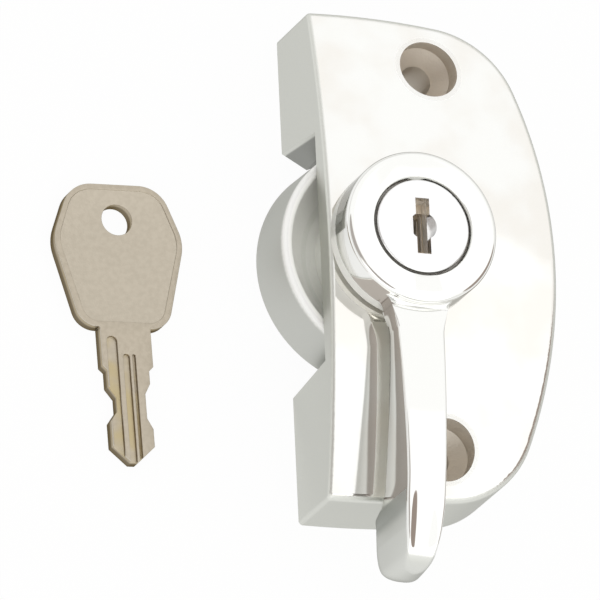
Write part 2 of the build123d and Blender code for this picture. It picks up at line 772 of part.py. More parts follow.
def bow_outline(inset):
    """The bow's outline, drawn in by an inset: six straight sides with well rounded corners."""
    widest_y = bow_top - bow_widest_drop
    with BuildSketch(Plane.XY) as bow:
        with BuildLine():
            Polyline(
                (-bow_top_width / 2 + inset / 2, bow_top - inset),
                (-bow_span / 2 + inset, widest_y),
                (-bow_bottom_width / 2 + inset, bow_bottom + inset),
                (bow_bottom_width / 2 - inset, bow_bottom + inset),
                (bow_span / 2 - inset, widest_y),
                (bow_top_width / 2 - inset / 2, bow_top - inset),
                close=True,
            )
        make_face()
        sides = bow.vertices().group_by(Axis.X)
        fillet(sides[0] + sides[-1], bow_side_radius - inset)
        fillet(bow.vertices().group_by(Axis.Y)[0], bow_bottom_radius - inset)
        fillet(bow.vertices().group_by(Axis.Y)[-1], bow_top_radius - inset)
    return bow.sketch


with BuildPart() as key:
    with BuildSketch(key_plane(0)):
        add(bow_outline(0))
    extrude(amount=key_thickness)
    with BuildSketch(key_plane(0)):
        with BuildLine():
            Polyline(
                (-key_neck_width / 2, bow_bottom + bow_bottom_radius),
                (-key_neck_width / 2, neck_bottom),
                (-blade_width / 2, neck_bottom - (key_neck_width - blade_width) / 2),
                (-blade_width / 2, key_tip + blade_tip_length),
                (-blade_tip_width / 2, key_tip),
                (blade_tip_width / 2, key_tip),
                (blade_width / 2, key_tip + blade_tip_length),
                (blade_width / 2, neck_bottom - (key_neck_width - blade_width) / 2),
                (key_neck_width / 2, neck_bottom),
                (key_neck_width / 2, bow_bottom + bow_bottom_radius),
                close=True,
            )
        make_face()
        for side, depth, start, end in (
            (-1, left_bit_depth, left_bit_start, left_bit_end),
            (1, right_bit_depth, right_bit_start, right_bit_end),
        ):
            edge_x = side * blade_width / 2
            with BuildLine():
                Polyline(
                    (edge_x, neck_bottom - start),
                    (edge_x - side * depth, neck_bottom - start - bit_slope),
                    (edge_x - side * depth, neck_bottom - end + bit_slope),
                    (edge_x, neck_bottom - end),
                    (edge_x + side * depth, neck_bottom - end),
                    (edge_x + side * depth, neck_bottom - start),
                    close=True,
                )
            make_face(mode=Mode.SUBTRACT)
    extrude(amount=key_thickness)
    with BuildSketch(key_plane(key_thickness)):
        add(bow_outline(bow_border))
    extrude(amount=-bow_recess_depth, mode=Mode.SUBTRACT)
    with BuildSketch(key_plane(0)):
        Circle(key_hole_radius)
    extrude(amount=key_thickness, mode=Mode.SUBTRACT)
    with BuildSketch(key_plane(key_thickness)):
        for groove_x, width, drop in (
            (side_groove_x, side_groove_width, side_groove_drop),
            (middle_groove_x, middle_groove_width, middle_groove_drop),
            (thin_groove_x, thin_groove_width, middle_groove_drop),
        ):
            groove_top = bow_bottom - drop - width / 2
            groove_length = groove_top - key_tip + width
            with Locations((groove_x, groove_top - groove_length / 2)):
                Rectangle(width, groove_length)
            with Locations((groove_x, groove_top)):
                Circle(width / 2)
    extrude(amount=-groove_depth, mode=Mode.SUBTRACT)
key.part.label = "key"
export_step(key.part, "parts/key.step")
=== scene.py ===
import math

import bmesh
import bpy
import numpy as np
from mathutils import Matrix, Vector


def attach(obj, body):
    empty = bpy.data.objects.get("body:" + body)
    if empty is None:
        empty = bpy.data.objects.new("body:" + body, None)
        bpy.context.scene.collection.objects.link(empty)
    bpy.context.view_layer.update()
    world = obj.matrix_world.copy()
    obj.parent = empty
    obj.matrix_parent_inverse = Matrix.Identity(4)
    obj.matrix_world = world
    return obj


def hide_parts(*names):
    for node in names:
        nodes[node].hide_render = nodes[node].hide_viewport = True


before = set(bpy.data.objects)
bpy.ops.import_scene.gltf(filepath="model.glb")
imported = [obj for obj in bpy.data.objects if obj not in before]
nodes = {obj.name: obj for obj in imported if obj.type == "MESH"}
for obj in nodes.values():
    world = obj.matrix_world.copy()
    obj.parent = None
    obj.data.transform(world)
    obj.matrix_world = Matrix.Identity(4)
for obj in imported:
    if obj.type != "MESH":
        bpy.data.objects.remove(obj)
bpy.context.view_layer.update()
scene = bpy.context.scene
scene.view_settings.view_transform = "Standard"

# Camera: a long lens that looks down on the lock from its flat side, over the lever's tip. The
# lock's length stands nearly upright in the frame.
frame_width = 0.08203
camera_distance = 2.0
sensor_width = 36.0
clip_ratio = 10
frame_rightward = Vector((0.934, -0.0433, 0.3546))
frame_upward = Vector((-0.0785, 0.9433, 0.3224))
camera_target = Vector((-0.0162, -0.00368, 0.00301))

camera_right = frame_rightward.normalized()
camera_back = camera_right.cross(frame_upward).normalized()
camera_up = camera_back.cross(camera_right)
camera_data = bpy.data.cameras.new("camera")
camera_data.sensor_width = sensor_width
camera_data.lens = sensor_width * camera_distance / frame_width
camera_data.clip_start = camera_distance / clip_ratio
camera_data.clip_end = camera_distance * clip_ratio
camera = bpy.data.objects.new("camera", camera_data)
camera_turn = Matrix((camera_right, camera_up, camera_back)).transposed().to_4x4()
camera.matrix_world = Matrix.Translation(camera_target + camera_back * camera_distance) @ camera_turn
scene.collection.objects.link(camera)
scene.camera = camera

# Light: a white studio tent, a little greyer low down, with three warm grey cards, on the lock's
# left, low on its right and round the camera, and three large soft lamps.
tent_top = "FFFFFF"
tent_low = "DEDEDB"
tent_fade_height = 0.5
tent_strength = 1.06
# For each card: its colour, where it stands, and the cosines at which its edge starts and ends.
cards = (
    ("AFA9A5", Vector((-0.76, -0.03, 0.65)).normalized(), 0.89, 0.905),
    ("9A8D85", Vector((0.92, -0.1, 0.36)).normalized(), 0.935, 0.95),
    ("7F7570", Vector((-0.35, -0.52, 0.78)).normalized(), 0.955, 0.968),
)
# For each lamp: its name, its place in metres and its power in watts.
lamps = (
    ("lamp_right", Vector((0.42, -0.12, 0.95)), 0.3),
    ("lamp_front", Vector((0.3, -0.9, 0.6)), 1.0),
    ("lamp_left", Vector((-0.55, -0.8, 0.5)), 1.3),
)
lamp_size = 1.2
soft_edge = {"interpolation_type": "SMOOTHSTEP"}


def linear(code):
    """Linear colour of an sRGB hex value such as "C9CBC4"."""
    channels = [int(code[i : i + 2], 16) / 255 for i in (0, 2, 4)]
    return tuple(c / 12.92 if c <= 0.04045 else ((c + 0.055) / 1.055) ** 2.4 for c in channels) + (1.0,)


def add_node(tree, kind, settings=None, **links):
    """A node of this kind. Settings that name a socket set its value, the rest are the node's own.
    Each link joins an output to the socket of that name, with _ for a space, or in0, in1 by number.
    A Mix node's sockets go by number: 0 is the factor, 2 and 3 mix values, 6 and 7 mix colours."""
    node = tree.nodes.new(kind)
    for name, value in (settings or {}).items():
        if isinstance(name, int) or name in node.inputs:
            node.inputs[name].default_value = value
        else:
            setattr(node, name, value)
    for name, source in links.items():
        by_number = name[:2] == "in" and name[2:].isdigit()
        tree.links.new(source, node.inputs[int(name[2:]) if by_number else name.replace("_", " ")])
    return node


world = bpy.data.worlds.new("studio_tent")
world.use_nodes = True
scene.world = world
tree = world.node_tree
tree.nodes.clear()
direction = add_node(tree, "ShaderNodeTexCoord").outputs["Generated"]
upward = add_node(tree, "ShaderNodeSeparateXYZ", Vector=direction).outputs["Z"]
tent_fade = add_node(
    tree, "ShaderNodeMapRange", soft_edge | {"From Min": 0.0, "From Max": tent_fade_height}, Value=upward
)
surround = add_node(
    tree,
    "ShaderNodeMix",
    {"data_type": "RGBA", 6: linear(tent_low), 7: linear(tent_top)},
    in0=tent_fade.outputs["Result"],
)
for card_colour, card_direction, edge_cosine, full_cosine in cards:
    toward_card = add_node(
        tree, "ShaderNodeVectorMath", {"operation": "DOT_PRODUCT", 1: card_direction}, in0=direction
    )
    on_card = add_node(
        tree,
        "ShaderNodeMapRange",
        soft_edge | {"From Min": edge_cosine, "From Max": full_cosine},
        Value=toward_card.outputs["Value"],
    )
    surround = add_node(
        tree,
        "ShaderNodeMix",
        {"data_type": "RGBA", 7: linear(card_colour)},
        in0=on_card.outputs["Result"],
        in6=surround.outputs[2],
    )
background = add_node(tree, "ShaderNodeBackground", {"Strength": tent_strength}, Color=surround.outputs[2])
add_node(tree, "ShaderNodeOutputWorld", Surface=background.outputs["Background"])

for name, place, power in lamps:
    lamp_data = bpy.data.lights.new(name, "AREA")
    lamp_data.shape = "DISK"
    lamp_data.size = lamp_size
    lamp_data.energy = power
    lamp = bpy.data.objects.new(name, lamp_data)
    lamp.matrix_world = Matrix.Translation(place) @ place.to_track_quat("Z", "Y").to_matrix().to_4x4()
    scene.collection.objects.link(lamp)

# Floor: white paper that the lock and its key lie on. Seen directly or mirrored in metal it is
# mostly its own white, so that only a faint shadow is left on it.
floor_reach = 1.5
floor_white = "F4F4F2"
floor_glow_share = 0.96

floor_mesh = bpy.data.meshes.new("floor")
corners = [(-1, -1), (1, -1), (1, 1), (-1, 1)]
floor_mesh.from_pydata([(x * floor_reach, y * floor_reach, 0) for x, y in corners], [], [(0, 1, 2, 3)])
floor = bpy.data.objects.new("floor", floor_mesh)
scene.collection.objects.link(floor)
paper = bpy.data.materials.new("white_paper")
paper.use_nodes = True
tree = paper.node_tree
tree.nodes.clear()
ray = add_node(tree, "ShaderNodeLightPath").outputs
seen = add_node(
    tree, "ShaderNodeMath", {"operation": "MAXIMUM"}, in0=ray["Is Camera Ray"], in1=ray["Is Glossy Ray"]
)
seen = add_node(
    tree, "ShaderNodeMath", {"operation": "MAXIMUM"}, in0=seen.outputs[0], in1=ray["Is Transmission Ray"]
)
share = add_node(tree, "ShaderNodeMath", {"operation": "MULTIPLY", 1: floor_glow_share}, in0=seen.outputs[0])
matte = add_node(tree, "ShaderNodeBsdfDiffuse", {"Color": linear(floor_white)})
glow = add_node(tree, "ShaderNodeEmission", {"Color": (1.0, 1.0, 1.0, 1.0), "Strength": 1.0})
mixed = add_node(
    tree, "ShaderNodeMixShader", in0=share.outputs[0], in1=matte.outputs["BSDF"], in2=glow.outputs["Emission"]
)
add_node(tree, "ShaderNodeOutputMaterial", Surface=mixed.outputs["Shader"])
floor_mesh.materials.append(paper)

# Housing: a zinc die casting under bright chrome plate. Its dome is buffed to a mirror, and the
# walls, the holes and the hollow back keep the fine grain of the cast skin under the plate.
dome_centre = Vector((-0.0059, 0.0008, -0.1234))
dome_radius = 0.14
unbuffed_depth = 0.00008
buffed_depth = 0.00003
flat_side_edge = -0.0164
hole_distance = 0.0275
hole_radius = 0.0047
notch_reach = 0.0184
notch_flank_reach = 0.0150
notch_depth = 0.0012
notch_shade_end = 0.012
notch_edge_fade = 0.0002
notch_shade_fade = 0.0005
finish_fade = 0.0003
chrome_bright = "F7F7F4"
chrome_haze = "F2EFE9"
chrome_edge = "B4B4B2"
cast_grey = "E2E3DD"
hole_grey = "DED6CA"
# Painted shade: the notch's slanted flanks are painted the darkest grey, where they lie in shade.
notch_painted_shade = "A4A5A1"
haze_size = 0.012
haze_levels = (0.35, 0.6)
cast_roughness = 0.42
dome_roughness = 0.07
cast_grain = 0.00003
dome_wave = 0.00002
hole_metallic = 0.5


def empty_material(name):
    """A material with no nodes yet, and the object coordinates in it."""
    material = bpy.data.materials.new(name)
    material.use_nodes = True
    material.node_tree.nodes.clear()
    return material, add_node(material.node_tree, "ShaderNodeTexCoord").outputs["Object"]


def metal(
    material,
    colour,
    roughness,
    edge_tint,
    place,
    metallic=1.0,
    wave=0.0,
    wave_size=0.008,
    grain=0.0,
    grain_size=0.0003,
):
    """A metal surface. Its colour, roughness, metallic and grain are values or sockets. It waves a
    little where it is buffed by hand, about 8 mm from wave to wave, and it has a fine grain. Both
    are given by depth and size in metres. A real cast skin has grains of about 0.05 mm, too fine to
    show, so they are drawn 0.3 mm wide."""
    tree = material.node_tree
    waves = add_node(tree, "ShaderNodeTexNoise", {"Scale": 1 / wave_size, "Detail": 1.0}, Vector=place)
    grains = add_node(tree, "ShaderNodeTexNoise", {"Scale": 1 / grain_size, "Detail": 2.0}, Vector=place)
    swell = add_node(
        tree, "ShaderNodeBump", {"Strength": 1.0, "Distance": wave}, Height=waves.outputs["Fac"]
    )
    skin = add_node(
        tree,
        "ShaderNodeBump",
        {"Strength": 1.0},
        Height=grains.outputs["Fac"],
        Normal=swell.outputs["Normal"],
    )
    shader = add_node(tree, "ShaderNodeBsdfPrincipled", {"Specular Tint": linear(edge_tint)})
    for node, socket, value in (
        (shader, "Base Color", colour),
        (shader, "Roughness", roughness),
        (shader, "Metallic", metallic),
        (skin, "Distance", grain),
    ):
        if isinstance(value, bpy.types.NodeSocket):
            tree.links.new(value, node.inputs[socket])
        else:
            node.inputs[socket].default_value = value
    tree.links.new(skin.outputs["Normal"], shader.inputs["Normal"])
    add_node(tree, "ShaderNodeOutputMaterial", Surface=shader.outputs["BSDF"])


def dress(material, *names):
    """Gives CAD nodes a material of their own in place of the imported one."""
    for name in names:
        nodes[name].data.materials.clear()
        nodes[name].data.materials.append(material)


# Bright chrome: a clear mirror with a faint warm haze on the dome, a soft grey sheen on the cast skin, a
# duller beige in the holes, and a painted shade, the darkest grey, on the notch's slanted flanks. The haze
# comes in patches about 12 mm wide, as fingers leave it.
chrome_housing, place = empty_material("bright_chrome_on_die_cast_zinc")
tree = chrome_housing.node_tree
sideways = add_node(tree, "ShaderNodeSeparateXYZ", Vector=place).outputs["X"]
folded = add_node(tree, "ShaderNodeVectorMath", {"operation": "ABSOLUTE"}, in0=place).outputs[0]
folded_length = add_node(tree, "ShaderNodeSeparateXYZ", Vector=folded).outputs["Y"]
flattened = add_node(tree, "ShaderNodeVectorMath", {"operation": "MULTIPLY", 1: (1, 1, 0)}, in0=folded)
from_hole = add_node(
    tree,
    "ShaderNodeVectorMath",
    {"operation": "DISTANCE", 1: (0, hole_distance, 0)},
    in0=flattened.outputs[0],
).outputs["Value"]
from_dome_centre = add_node(
    tree, "ShaderNodeVectorMath", {"operation": "DISTANCE", 1: dome_centre}, in0=place
).outputs["Value"]
below_dome_radius = dome_radius - notch_depth
# Each mask goes smoothly from 0 to 1 as its value goes from the first number to the second.
on_dome, off_edge, in_hole, beside_notch, below_dome, off_round_side, on_flank = (
    add_node(
        tree, "ShaderNodeMapRange", soft_edge | {"From Min": outside, "From Max": inside}, Value=value
    ).outputs["Result"]
    for value, outside, inside in (
        (from_dome_centre, dome_radius - unbuffed_depth, dome_radius - buffed_depth),
        (sideways, flat_side_edge, flat_side_edge + finish_fade),
        (from_hole, hole_radius + finish_fade, hole_radius),
        (folded_length, notch_reach, notch_reach - notch_edge_fade),
        (from_dome_centre, below_dome_radius, below_dome_radius - finish_fade),
        (sideways, notch_shade_end + notch_shade_fade, notch_shade_end),
        (folded_length, notch_flank_reach, notch_flank_reach + notch_shade_fade),
    )
)
buffed = add_node(tree, "ShaderNodeMath", {"operation": "MULTIPLY"}, in0=on_dome, in1=off_edge).outputs[0]
# Where the painted shade goes: the notch's slanted flanks on the flat side, below the dome.
in_notch_painted_shade = off_edge
for mask in (beside_notch, below_dome, off_round_side, on_flank):
    in_notch_painted_shade = add_node(
        tree, "ShaderNodeMath", {"operation": "MULTIPLY"}, in0=in_notch_painted_shade, in1=mask
    ).outputs[0]

haze = add_node(tree, "ShaderNodeTexNoise", {"Scale": 1 / haze_size, "Detail": 3.0}, Vector=place)
clear_of_haze = add_node(
    tree,
    "ShaderNodeMapRange",
    soft_edge | {"From Min": haze_levels[0], "From Max": haze_levels[1]},
    Value=haze.outputs["Fac"],
)
plate = add_node(
    tree,
    "ShaderNodeMix",
    {"data_type": "RGBA", 6: linear(chrome_haze), 7: linear(chrome_bright)},
    in0=clear_of_haze.outputs["Result"],
)
walls = add_node(
    tree, "ShaderNodeMix", {"data_type": "RGBA", 6: linear(cast_grey), 7: linear(notch_painted_shade)}, in0=in_notch_painted_shade
)
walls = add_node(
    tree, "ShaderNodeMix", {"data_type": "RGBA", 7: linear(hole_grey)}, in0=in_hole, in6=walls.outputs[2]
)
colour = add_node(
    tree, "ShaderNodeMix", {"data_type": "RGBA"}, in0=buffed, in6=walls.outputs[2], in7=plate.outputs[2]
)
metal(
    chrome_housing,
    colour.outputs[2],
    add_node(tree, "ShaderNodeMix", {2: cast_roughness, 3: dome_roughness}, in0=buffed).outputs[0],
    chrome_edge,
    place,
    wave=dome_wave,
    grain=add_node(tree, "ShaderNodeMix", {2: cast_grain, 3: 0.0}, in0=buffed).outputs[0],
    metallic=add_node(tree, "ShaderNodeMix", {2: 1.0, 3: hole_metallic}, in0=in_hole).outputs[0],
)
dress(chrome_housing, "housing")

# Lever: head, arm and hub in one die casting, buffed and plated like the housing. The head and the
# hub are the CAD node's, cut off beside the head. The arm is drawn again with the rounded edges and
# slightly full sides that buffing leaves, and with a thumb scoop that is deepest left of the middle.
merge_distance = 0.000001
flat_angle = math.radians(0.5)
smooth_angle = math.radians(35)
pivot = Vector((-0.0059, 0.0008, 0.0))
lever_turn = math.radians(-2.0)
# A reach is a distance along the arm from the pivot. Each row of reaches goes with the row of values
# below it, and the values between two of them are interpolated.
arm_cut = 0.01125
arm_overlap = 0.00005
arm_end = 0.0485
width_reaches = (0.0112, 0.0145, 0.0310, 0.0383, 0.0430, 0.0485)
half_widths = (0.00405, 0.0035, 0.0030, 0.0028, 0.0026, 0.00195)
curve_reaches = (0.0113, 0.0135, 0.0180, 0.0250, 0.0360, 0.0400, 0.0440, 0.0485)
side_curves = (0.0, 0.0002, 0.0002, 0.00019, 0.00013, 0.0, 0.0004, 0.0009)
toe_reaches = (0.0360, 0.0400)
widest_levels = (0.62, 0.0)
toe_swell = 0.6
crown_top = 0.0242
crown_reach = 0.033
root_crown_radius = 0.110
tip_crown_radius = 0.042
under_radius = 0.1422
toe_bottom = 0.0110
toe_step_from = 0.0374
toe_step_to = 0.0390
toe_end_radius = 0.0048
nose_top_radius = 0.0046
nose_plan_radius = 0.0023
top_rounding = 0.0004
toe_rounding_reaches = (0.0380, 0.0430)
low_roundings = (0.0005, 0.0009)
rounding_from = 0.0112
rounding_to = 0.0150
scoop_from = 0.0335
scoop_to = 0.0458
scoop_end = 0.0009
scoop_depth = 0.0008
scoop_bottom = 0.0008
scoop_left = 0.0015
scoop_right = 0.0032
scoop_rim = 0.0002
tip_centre = 0.0430
side_steps = 24
top_steps = 44
ring_spacing = 0.00022
tip_rings = 32
root_steps = 30
search_reach = 1.5
search_steps = 40
# The finish, and a painted shade, change at these places along the lock's length, and at these depths in the
# toe.
toe_back = -0.0372
toe_fade = 0.0006
toe_shade_from = -0.0408
toe_shade_to = -0.0390
toe_skin_depths = (0.00065, 0.0009)
skin_radius = 0.1424
toe_grey = "DCDDD8"
# Painted shade: a darker band across the toe's back, standing in for the paper's shadow mirrored in its
# flanks.
toe_painted_shade = "C6C8C4"
skin_white = "F6F6F1"
toe_roughness = 0.35
arm_roughness = 0.06
arm_wave = 0.00003
arm_wave_size = 0.006
skin_metallic = 0.15


def rounded(a, b, radius):
    """Signed distance to where both a and b are below zero, with that corner rounded off."""
    first, second = a + radius, b + radius
    inside = np.minimum(np.maximum(first, second), 0)
    return inside + np.hypot(np.maximum(first, 0), np.maximum(second, 0)) - radius


def crown(reach):
    """Height of the arm's top at a distance from the pivot."""
    radius = np.where(reach > crown_reach, tip_crown_radius, root_crown_radius)
    return crown_top - radius + np.sqrt(radius**2 - (reach - crown_reach) ** 2)


def underside(reach):
    """Height of the arm's underside. It follows the dome, then steps down at the toe."""
    over_dome = dome_centre.z + np.sqrt(under_radius**2 - reach**2)
    step = np.clip((reach - toe_step_from) / (toe_step_to - toe_step_from), 0, 1)
    step = step * step * (3 - 2 * step)
    return over_dome + (toe_bottom - over_dome) * step


def arm_distance(reach, side, height):
    """Signed distance to the arm's surface, below zero in the metal."""
    end = reach - arm_end
    level = np.clip((height - underside(reach)) / (crown(reach) - underside(reach)), 0, 1)
    widest = np.interp(reach, toe_reaches, widest_levels)
    swell = np.interp(reach, toe_reaches, (0, toe_swell)) - ((level - widest) / (1 - widest)) ** 2
    width = np.interp(reach, width_reaches, half_widths)
    width = width + np.interp(reach, curve_reaches, side_curves) * swell
    plan = rounded(np.abs(side) - width, end, nose_plan_radius)
    grown = np.clip((reach - rounding_from) / (rounding_to - rounding_from), 0, 1)
    upper = rounded(plan, rounded(height - crown(reach), end, nose_top_radius), top_rounding * grown)
    low_rounding = np.interp(reach, toe_rounding_reaches, low_roundings) * grown
    lower = rounded(plan, rounded(underside(reach) - height, end, toe_end_radius), low_rounding)
    along = np.clip((reach - scoop_from) / (scoop_to - scoop_from), 0, 1)
    across = (side - scoop_bottom) / np.where(side > scoop_bottom, scoop_left, scoop_right)
    past = np.maximum(reach - scoop_to, 0) / scoop_end
    hollow = scoop_depth * (1 - (1 - along) ** 2) * (1 - across**2 - past**2)
    over_scoop = height - crown(np.minimum(reach, scoop_to)) + hollow - scoop_rim
    return rounded(np.maximum(upper, lower), over_scoop, scoop_rim)


def corner_steps(count):
    """Places from -1 to 1 along one side of a section, closest together at its corners."""
    return -np.cos(np.arange(count) * np.pi / count)


def arm_mesh(name):
    """The arm as rings of points found on its surface, from beside the head to the tip's pole."""
    rise, run = corner_steps(side_steps), corner_steps(top_steps)
    one_side, one_top = np.ones(side_steps), np.ones(top_steps)
    across = np.concatenate((one_side, -run, -one_side, run))
    upward = np.concatenate((rise, one_top, -rise, -one_top))
    body = np.concatenate(
        (
            np.linspace(arm_cut - arm_overlap, rounding_to, root_steps, endpoint=False),
            np.linspace(rounding_to, toe_step_from - ring_spacing, root_steps, endpoint=False),
            np.arange(toe_step_from - ring_spacing, tip_centre, ring_spacing),
        )
    )
    turns = np.concatenate((np.zeros(len(body)), np.linspace(0, np.pi / 2, tip_rings + 1)))
    centres = np.concatenate((body, np.full(tip_rings + 1, tip_centre)))[:, None]
    middle = (crown(centres) + underside(centres)) / 2
    half_height = (crown(centres) - underside(centres)) / 2
    half_width = np.interp(centres, width_reaches, half_widths)
    forward = (np.sin(turns) * (arm_end - tip_centre))[:, None]
    outward = np.cos(turns)[:, None]
    low = np.zeros((len(centres), len(across)))
    high = np.full_like(low, search_reach)
    for _ in range(search_steps):
        share = (low + high) / 2
        distance = arm_distance(
            centres + share * forward,
            share * outward * half_width * across,
            middle + share * outward * half_height * upward,
        )
        low = np.where(distance < 0, share, low)
        high = np.where(distance < 0, high, share)
    reach = centres + low * forward
    side = low * outward * half_width * across
    height = middle + low * outward * half_height * upward
    out_x, out_y = math.sin(lever_turn), -math.cos(lever_turn)
    along = pivot.x + out_x * reach + out_y * side
    points = np.stack((along, pivot.y + out_y * reach - out_x * side, height), axis=-1)
    rings, around = reach.shape[0] - 1, reach.shape[1]
    vertices = points[:rings].reshape(-1, 3).tolist() + [points[rings, 0].tolist()]
    pole = rings * around
    faces = [tuple(range(around))]
    for ring in range(rings - 1):
        for k in range(around):
            after = (k + 1) % around
            first, second = ring * around, (ring + 1) * around
            faces.append((first + k, second + k, second + after, first + after))
    last = (rings - 1) * around
    faces += [(last + k, pole, last + (k + 1) % around) for k in range(around)]
    mesh = bpy.data.meshes.new(name)
    mesh.from_pydata(vertices, [], faces)
    return mesh


# Bright chrome again: a clear mirror on head and arm, satin on the toe's flanks and end, where the
# buffing wheel doesn't reach, and pale unplated skin on the arm's underside.
chrome_lever, place = empty_material("bright_chrome_on_cast_lever")
tree = chrome_lever.node_tree
length = add_node(tree, "ShaderNodeSeparateXYZ", Vector=place).outputs["Y"]
from_dome_centre = add_node(
    tree, "ShaderNodeVectorMath", {"operation": "DISTANCE", 1: dome_centre}, in0=place
).outputs["Value"]
crown_axis = (0, pivot.y - crown_reach, crown_top - tip_crown_radius)
upright = add_node(tree, "ShaderNodeVectorMath", {"operation": "MULTIPLY", 1: (0, 1, 1)}, in0=place)
from_axis = add_node(
    tree, "ShaderNodeVectorMath", {"operation": "DISTANCE", 1: crown_axis}, in0=upright.outputs[0]
).outputs["Value"]
off_dome, on_toe, behind_toe, raised, in_toe_painted_shade = (
    add_node(
        tree, "ShaderNodeMapRange", soft_edge | {"From Min": outside, "From Max": inside}, Value=value
    ).outputs["Result"]
    for value, outside, inside in (
        (from_dome_centre, skin_radius, skin_radius + finish_fade),
        (length, toe_back + toe_fade, toe_back),
        (length, toe_back, toe_back + toe_fade),
        (from_axis, tip_crown_radius - toe_skin_depths[1], tip_crown_radius - toe_skin_depths[0]),
        (length, toe_shade_from, toe_shade_to),
    )
)
plated = add_node(tree, "ShaderNodeMath", {"operation": "MAXIMUM"}, in0=off_dome, in1=on_toe).outputs[0]
off_toe = add_node(tree, "ShaderNodeMath", {"operation": "MAXIMUM"}, in0=raised, in1=behind_toe).outputs[0]
buffed = add_node(tree, "ShaderNodeMath", {"operation": "MULTIPLY"}, in0=off_toe, in1=plated).outputs[0]
# The toe's satin, with the painted shade of the mirrored shadow across its back.
toe_skin = add_node(
    tree, "ShaderNodeMix", {"data_type": "RGBA", 6: linear(toe_grey), 7: linear(toe_painted_shade)}, in0=in_toe_painted_shade
)
coating = add_node(
    tree,
    "ShaderNodeMix",
    {"data_type": "RGBA", 7: linear(chrome_bright)},
    in0=buffed,
    in6=toe_skin.outputs[2],
)
colour = add_node(
    tree, "ShaderNodeMix", {"data_type": "RGBA", 6: linear(skin_white)}, in0=plated, in7=coating.outputs[2]
)
metal(
    chrome_lever,
    colour.outputs[2],
    add_node(tree, "ShaderNodeMix", {2: toe_roughness, 3: arm_roughness}, in0=buffed).outputs[0],
    chrome_edge,
    place,
    wave=arm_wave,
    wave_size=arm_wave_size,
    metallic=add_node(tree, "ShaderNodeMix", {2: skin_metallic, 3: 1.0}, in0=plated).outputs[0],
)
dress(chrome_lever, "lever")

casting = bmesh.new()
casting.from_mesh(nodes["lever"].data)
bmesh.ops.remove_doubles(casting, verts=casting.verts, dist=merge_distance)
bmesh.ops.dissolve_limit(casting, angle_limit=flat_angle, verts=casting.verts, edges=casting.edges)
along_arm = Vector((math.sin(lever_turn), -math.cos(lever_turn), 0))
cut = bmesh.ops.bisect_plane(
    casting,
    geom=casting.verts[:] + casting.edges[:] + casting.faces[:],
    plane_co=pivot + along_arm * arm_cut,
    plane_no=along_arm,
    clear_outer=True,
)
cut_edges = [part for part in cut["geom_cut"] if isinstance(part, bmesh.types.BMEdge)]
bmesh.ops.holes_fill(casting, edges=cut_edges)
casting.from_mesh(arm_mesh("arm"))
bmesh.ops.recalc_face_normals(casting, faces=casting.faces)
lever_mesh = bpy.data.meshes.new("lever_casting")
casting.to_mesh(lever_mesh)
casting.free()
lever_mesh.shade_smooth()
lever_mesh.set_sharp_from_angle(angle=smooth_angle)
lever_mesh.materials.clear()
lever_mesh.materials.append(chrome_lever)
lever = bpy.data.objects.new("lever_casting", lever_mesh)
scene.collection.objects.link(lever)
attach(lever, "lever")
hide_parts("lever")

# Cam: a dished die casting with a satin chrome finish, driven out of sight by the lever's hub. The land on
# its rim carries a painted highlight, and the dish's slope is painted a little lighter than its floor, as a
# painted sheen.
cam_edge = 0.01605
cam_edge_fade = 0.00006
cam_highlight_inside = 0.0151
cam_highlight_fade = 0.0003
cam_floor_edge = 0.0117
cam_floor_fade = 0.0003
cam_grey = "CCCDC8"
cam_edge_tint = "C0C0BC"
# Painted highlight: the land on the rim is painted bright white, with a smoother finish.
land_highlight_white = "FFFFFD"
# Painted sheen: the dish's slope is painted a little lighter than its floor.
slope_sheen_white = "FFFFFB"
dish_floor_white = "F7F8F3"
satin_roughness = 0.42
land_roughness = 0.25
wall_metallic = 0.9
dish_metallic = 0.05
satin_grain = 0.00003
satin_grain_size = 0.00035

# Satin chrome: a flat, nearly white dish with no clear reflections, in a greyer rim. Its grain is
# drawn 0.35 mm wide, since the real one is too fine to show.
satin_chrome, place = empty_material("satin_chrome_on_cast_cam")
tree = satin_chrome.node_tree
flattened = add_node(tree, "ShaderNodeVectorMath", {"operation": "MULTIPLY", 1: (1, 1, 0)}, in0=place)
from_pivot = add_node(
    tree, "ShaderNodeVectorMath", {"operation": "DISTANCE", 1: pivot}, in0=flattened.outputs[0]
).outputs["Value"]
on_top, off_dish, on_slope_sheen = (
    add_node(
        tree, "ShaderNodeMapRange", soft_edge | {"From Min": outside, "From Max": inside}, Value=from_pivot
    ).outputs["Result"]
    for outside, inside in (
        (cam_edge, cam_edge - cam_edge_fade),
        (cam_highlight_inside, cam_highlight_inside + cam_highlight_fade),
        (cam_floor_edge, cam_floor_edge + cam_floor_fade),
    )
)
# The painted highlight on the land.
on_land_highlight = add_node(tree, "ShaderNodeMath", {"operation": "MULTIPLY"}, in0=off_dish, in1=on_top).outputs[0]
# The painted sheen on the slope, lighter than the floor.
dish = add_node(
    tree,
    "ShaderNodeMix",
    {"data_type": "RGBA", 6: linear(dish_floor_white), 7: linear(slope_sheen_white)},
    in0=on_slope_sheen,
)
walls = add_node(
    tree, "ShaderNodeMix", {"data_type": "RGBA", 6: linear(cam_grey)}, in0=on_top, in7=dish.outputs[2]
)
colour = add_node(
    tree, "ShaderNodeMix", {"data_type": "RGBA", 7: linear(land_highlight_white)}, in0=on_land_highlight, in6=walls.outputs[2]
)
metal(
    satin_chrome,
    colour.outputs[2],
    add_node(tree, "ShaderNodeMix", {2: satin_roughness, 3: land_roughness}, in0=on_land_highlight).outputs[0],
    cam_edge_tint,
    place,
    grain=satin_grain,
    grain_size=satin_grain_size,
    metallic=add_node(tree, "ShaderNodeMix", {2: wall_metallic, 3: dish_metallic}, in0=on_top).outputs[0],
)
dress(satin_chrome, "cam")

